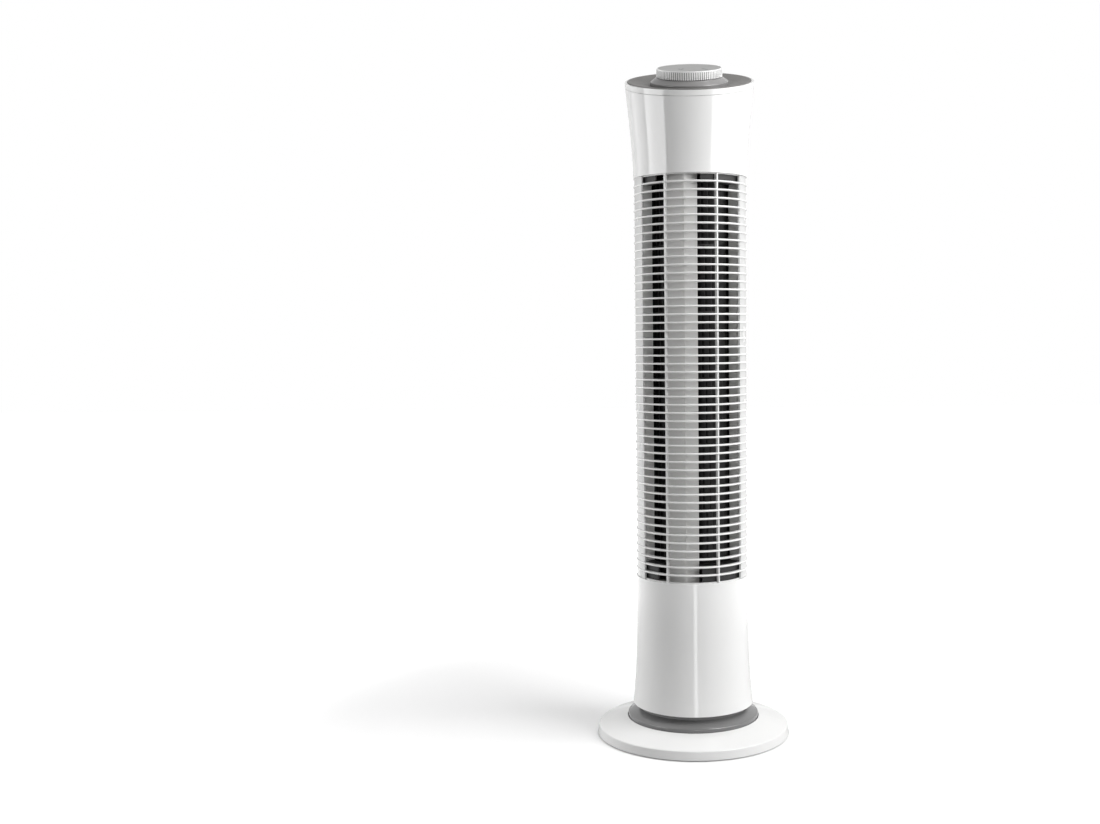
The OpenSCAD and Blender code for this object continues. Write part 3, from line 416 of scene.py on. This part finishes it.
# %% Shade on the grille's side strips
STRIP_RECESS = 0.0006
STRIP_SIDE_SHARE = 0.836
STRIP_SHADE = 0.72
grille_radius = max(v.co.x for v in nodes["front_grille"].data.vertices)
tree, spot = surface_place(grille_white)
across, deep = (measured_along(tree, spot, (0, 0, 0), direction) for direction in ((1, 0, 0), (0, 1, 0)))
squares = [calculate(tree, "MULTIPLY", part, part) for part in (across, deep)]
radius = calculate(tree, "SQRT", calculate(tree, "ADD", *squares))
behind_slats = calculate(tree, "LESS_THAN", radius, grille_radius - STRIP_RECESS)
at_side = calculate(tree, "GREATER_THAN", calculate(tree, "ABSOLUTE", across),
                    grille_radius * STRIP_SIDE_SHARE)
darken(grille_white, calculate(tree, "MULTIPLY", behind_slats, at_side), STRIP_SHADE)
print("strips shaded, grille radius:", round(grille_radius, 4))

# %% [markdown]
# The dial's inset carries two small dark marks near its front, pad-printed as on most such dials.
# They could be painted in the inset's colour nodes, but then they would be soft at the edges.
# Here each mark is a thin skin of ink with round ends. Its outline is worked out from the middle
# line of the stroke: the line's points are moved half a width to either side, and each end gets
# an arc.

# %% Outline of an ink stroke
ARC_ANGLES = (60, 30, 0, -30, -60)


def stroke_outline(points, half):
    """Outline of a stroke of even width with round ends, from its middle line."""
    sides = ([], [])
    for i, point in enumerate(points):
        along = (points[min(i + 1, len(points) - 1)] - points[max(i - 1, 0)]).normalized()
        across = Vector((-along.y, along.x)) * half
        sides[0].append(point + across)
        sides[1].append(point - across)
    ends = []
    for point, along in ((points[-1], points[-1] - points[-2]), (points[0], points[0] - points[1])):
        start = math.atan2(along.y, along.x)
        arc = [start + math.radians(angle) for angle in ARC_ANGLES]
        ends.append([point + Vector((math.cos(a), math.sin(a))) * half for a in arc])
    return sides[0] + ends[0] + sides[1][::-1] + ends[1]


# %% [markdown]
# The ink lies on the inset's own plane. Its height could be copied from the CAD source, but measured
# on the inset's solid it stays right if the dial is ever made taller. The ink is a dull black.

# %% Ink and the plane that it lies on
INK_DEPTH = 0.00006
inset_level = max((v.co - dial_place).dot(dial_up) for v in nodes["dial_cap"].data.vertices)
ink_black = moulded("ink_black", (0.02, 0.02, 0.02), wander=0.2, rough=(0.4, 0.5),
                    grain=900.0, depth=0.00001)


def on_inset(point):
    """The place in the room of a point on the dial's inset."""
    return dial_place + dial_right * point.x + dial_back * point.y + dial_up * inset_level


print("inset above the dial's joint:", round(inset_level, 4))

# %% [markdown]
# The two marks are too small to read in a picture of the whole fan, so each is one plain stroke. Their
# points are in millimetres from the dial's axis, to the right and towards the back. The outline is
# raised by the thickness of the ink, and the marks turn with the dial.

# %% Marks on the dial
MM = 0.001
MARK_HALF = 0.0007
MARKS = {
    "left_dial_mark": [(-12.0, -10.0), (-9.8, -17.5), (-6.8, -8.5)],
    "right_dial_mark": [(14.2, -9.5), (17.0, -14.0), (19.6, -18.0)],
}
for name, line in MARKS.items():
    outline = stroke_outline([Vector(p) * MM for p in line], MARK_HALF)
    ink = bmesh.new()
    face = ink.faces.new([ink.verts.new(on_inset(p)) for p in outline])
    raised = bmesh.ops.extrude_face_region(ink, geom=[face])
    lifted = [part for part in raised["geom"] if isinstance(part, bmesh.types.BMVert)]
    bmesh.ops.translate(ink, verts=lifted, vec=dial_up * INK_DEPTH)
    bmesh.ops.recalc_face_normals(ink, faces=ink.faces)
    mark_mesh = bpy.data.meshes.new(name)
    ink.to_mesh(mark_mesh)
    ink.free()
    mark_mesh.materials.append(ink_black)
    mark = bpy.data.objects.new(name, mark_mesh)
    scene.collection.objects.link(mark)
    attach(mark, "dial")
    print(name, "faces:", len(mark_mesh.polygons))

# %% [markdown]
# The floor is one wide white sheet. It has to show as pure white where light falls on it and still
# keep the fan's soft shadow. A curved backdrop is the usual way in a studio. Here the backdrop is
# the white of the room, so the sheet can stay flat.
# The paper has two tones. The camera sees the light one. The light that the sheet throws back onto
# the fan is held lower, as a real studio does with a darker cloth outside the picture, or else the
# fan's underside would be as bright as its top.

# %% Floor
FLOOR_HALF = 6.0
FLOOR_WHITE, FLOOR_BOUNCE = 0.85, 0.45
floor_mesh = bpy.data.meshes.new("studio_floor")
corners = [(x * FLOOR_HALF, y * FLOOR_HALF, 0) for x, y in ((-1, -1), (1, -1), (1, 1), (-1, 1))]
floor_mesh.from_pydata(corners, [], [(0, 1, 2, 3)])
floor = bpy.data.objects.new("studio_floor", floor_mesh)
scene.collection.objects.link(floor)
floor_finish = bpy.data.materials.new("studio_floor")
floor_finish.use_nodes = True
tree = floor_finish.node_tree
tree.nodes.clear()
ray = add_node(tree, "ShaderNodeLightPath")
tone = add_node(tree, "ShaderNodeMapRange", {"To Min": FLOOR_BOUNCE, "To Max": FLOOR_WHITE})
tree.links.new(ray.outputs["Is Camera Ray"], tone.inputs["Value"])
paper = add_node(tree, "ShaderNodeBsdfDiffuse")
tree.links.new(tone.outputs["Result"], paper.inputs["Color"])
print("floor:", 2 * FLOOR_HALF, "m wide")

# %% [markdown]
# More light would make the sheet pure white, but it would blow out the fan. So the paper gets a faint
# glow that only the camera and mirrored views see. The glow grows away from the fan, where the lamps
# reach less, so that the sheet and the backdrop run into one another without a line.

# %% Glow of the floor
WHITE_LIGHT = (1, 1, 1, 1)
FLOOR_GLOW, FULL_GLOW = 0.09, 1.0
GLOW_NEAR, GLOW_FAR = 0.4, 0.9
spot = add_node(tree, "ShaderNodeTexCoord")
reach = add_node(tree, "ShaderNodeVectorMath", operation="LENGTH")
tree.links.new(spot.outputs["Object"], reach.inputs[0])
fade_ends = {"From Min": GLOW_NEAR, "From Max": GLOW_FAR, "To Min": FLOOR_GLOW, "To Max": FULL_GLOW}
fade = add_node(tree, "ShaderNodeMapRange", fade_ends, interpolation_type="SMOOTHSTEP")
tree.links.new(reach.outputs["Value"], fade.inputs["Value"])
in_view = calculate(tree, "MAXIMUM", ray.outputs["Is Camera Ray"], ray.outputs["Is Glossy Ray"])
glow = add_node(tree, "ShaderNodeEmission", {"Color": WHITE_LIGHT})
tree.links.new(calculate(tree, "MULTIPLY", fade.outputs["Result"], in_view), glow.inputs["Strength"])
sheet = add_node(tree, "ShaderNodeAddShader")
tree.links.new(paper.outputs["BSDF"], sheet.inputs[0])
tree.links.new(glow.outputs["Emission"], sheet.inputs[1])
surface = add_node(tree, "ShaderNodeOutputMaterial")
tree.links.new(sheet.outputs["Shader"], surface.inputs["Surface"])
floor_mesh.materials.append(floor_finish)
print("glow grows from", GLOW_NEAR, "to", GLOW_FAR, "m")

# %% [markdown]
# The room is a white studio. It could be built from walls, but a world colour that depends on the
# direction does the same with no noise. Its walls light the fan a little more from low down than from
# above, and this fill is the same on every side. Its reflection is not: the front, where the
# photographer stands, is dark, and the walls beside and behind the fan are light. Glossy white
# plastic shows this as a grey band down its middle.

# %% Fill and reflections of the room
FILL_LOW, FILL_HIGH = 0.62, 0.22
ROOM_DARK, ROOM_LIGHT = 0.1, 0.7
FRONT_END, SIDE_START = -0.7, 0.3
world = bpy.data.worlds.new("studio_room")
scene.world = world
world.use_nodes = True
tree = world.node_tree
tree.nodes.clear()
aim = add_node(tree, "ShaderNodeTexCoord")
direction = add_node(tree, "ShaderNodeSeparateXYZ")
tree.links.new(aim.outputs["Generated"], direction.inputs["Vector"])
wall_ends = {"From Min": FRONT_END, "From Max": SIDE_START, "To Min": ROOM_DARK, "To Max": ROOM_LIGHT}
mirrored = add_node(tree, "ShaderNodeMapRange", wall_ends, interpolation_type="SMOOTHSTEP")
tree.links.new(direction.outputs["Y"], mirrored.inputs["Value"])
rise = add_node(tree, "ShaderNodeMapRange", {"To Min": FILL_LOW, "To Max": FILL_HIGH})
tree.links.new(direction.outputs["Z"], rise.inputs["Value"])
ray = add_node(tree, "ShaderNodeLightPath")
strength = add_node(tree, "ShaderNodeMix")
tree.links.new(rise.outputs["Result"], strength.inputs["A"])
tree.links.new(mirrored.outputs["Result"], strength.inputs["B"])
tree.links.new(ray.outputs["Is Glossy Ray"], strength.inputs["Factor"])
print("fill:", FILL_LOW, "low,", FILL_HIGH, "high; reflections:", ROOM_DARK, "to", ROOM_LIGHT)

# %% [markdown]
# The camera itself sees plain white behind the fan. A strength of 1 is exactly white, and it lights
# nothing, because only rays that come straight from the camera find it.

# %% White behind the fan
walls = add_node(tree, "ShaderNodeBackground", {"Color": WHITE_LIGHT})
tree.links.new(strength.outputs["Result"], walls.inputs["Strength"])
backdrop = add_node(tree, "ShaderNodeBackground", {"Color": WHITE_LIGHT, "Strength": 1.0})
choose = add_node(tree, "ShaderNodeMixShader")
tree.links.new(ray.outputs["Is Camera Ray"], choose.inputs["Fac"])
tree.links.new(walls.outputs["Background"], choose.inputs[1])
tree.links.new(backdrop.outputs["Background"], choose.inputs[2])
room_end = add_node(tree, "ShaderNodeOutputWorld")
tree.links.new(choose.outputs["Shader"], room_end.inputs["Surface"])
print("room nodes:", len(tree.nodes))

# %% [markdown]
# Lamps do the rest. They could be point lights or suns, but only wide ones give plastic its wide
# reflections, so all are rectangles, and each has one job. The overhead softbox stands on the right
# and slightly in front, 60 degrees up, and draws the soft shadow to the left. The right panel makes
# the broad white band on the upper casing. Two panels behind the fan brighten its left and right
# edges. They are kept out of reflections, where they would draw bright stripes of their own.
# Three more lamps only show in reflections: two white boards on the left make the upright bands on
# the upper casing, and a narrow strip low in front makes the thin bright line on the lower casing.

# %% Lamps
# Each row: azimuth in degrees from the front towards the right, distance, height, width, height of
# the lamp itself, watts, height that it aims at, lights surfaces, shows in reflections
LAMPS = {
    "overhead_softbox": (64.0, 1.2, 2.4, 1.1, 1.1, 26.5, 0.35, True, True),
    "right_panel": (66.0, 1.3, 1.0, 1.27, 0.85, 16.0, 0.9, True, True),
    "right_rear_panel": (118.0, 2.0, 0.75, 1.0, 1.3, 10.0, 0.45, True, False),
    "left_rear_panel": (-117.0, 2.0, 0.75, 1.0, 1.3, 32.0, 0.45, True, False),
    "left_reflector": (-68.0, 1.6, 0.75, 1.2, 0.4, 9.5, 0.75, False, True),
    "left_rear_reflector": (-107.0, 1.6, 0.75, 1.2, 0.4, 1.6, 0.75, False, True),
    "front_strip": (4.5, 0.30, 0.1, 0.03, 0.18, 0.08, 0.1, False, True),
}


def softbox(name, azimuth, distance, height, width, tall, watts, aim_height, lights, shines):
    """A rectangular lamp that stands round the fan and looks at its axis."""
    data = bpy.data.lights.new(name, "AREA")
    data.shape = "RECTANGLE"
    data.size, data.size_y = width, tall
    data.energy = watts
    lamp = bpy.data.objects.new(name, data)
    scene.collection.objects.link(lamp)
    turned = math.radians(azimuth)
    lamp.location = (distance * math.sin(turned), -distance * math.cos(turned), height)
    target = Vector((0, 0, aim_height)) - lamp.location
    lamp.rotation_euler = target.to_track_quat("-Z", "Y").to_euler()
    lamp.visible_camera = False
    lamp.visible_diffuse = lights
    lamp.visible_glossy = shines


for name, settings in LAMPS.items():
    softbox(name, *settings)
print("lamps:", len(LAMPS))

# %% [markdown]
# The picture is kept as plain as a product photograph: the standard view with no grading, so that a
# colour shows about as it is written.

scene.view_settings.view_transform = "Standard"
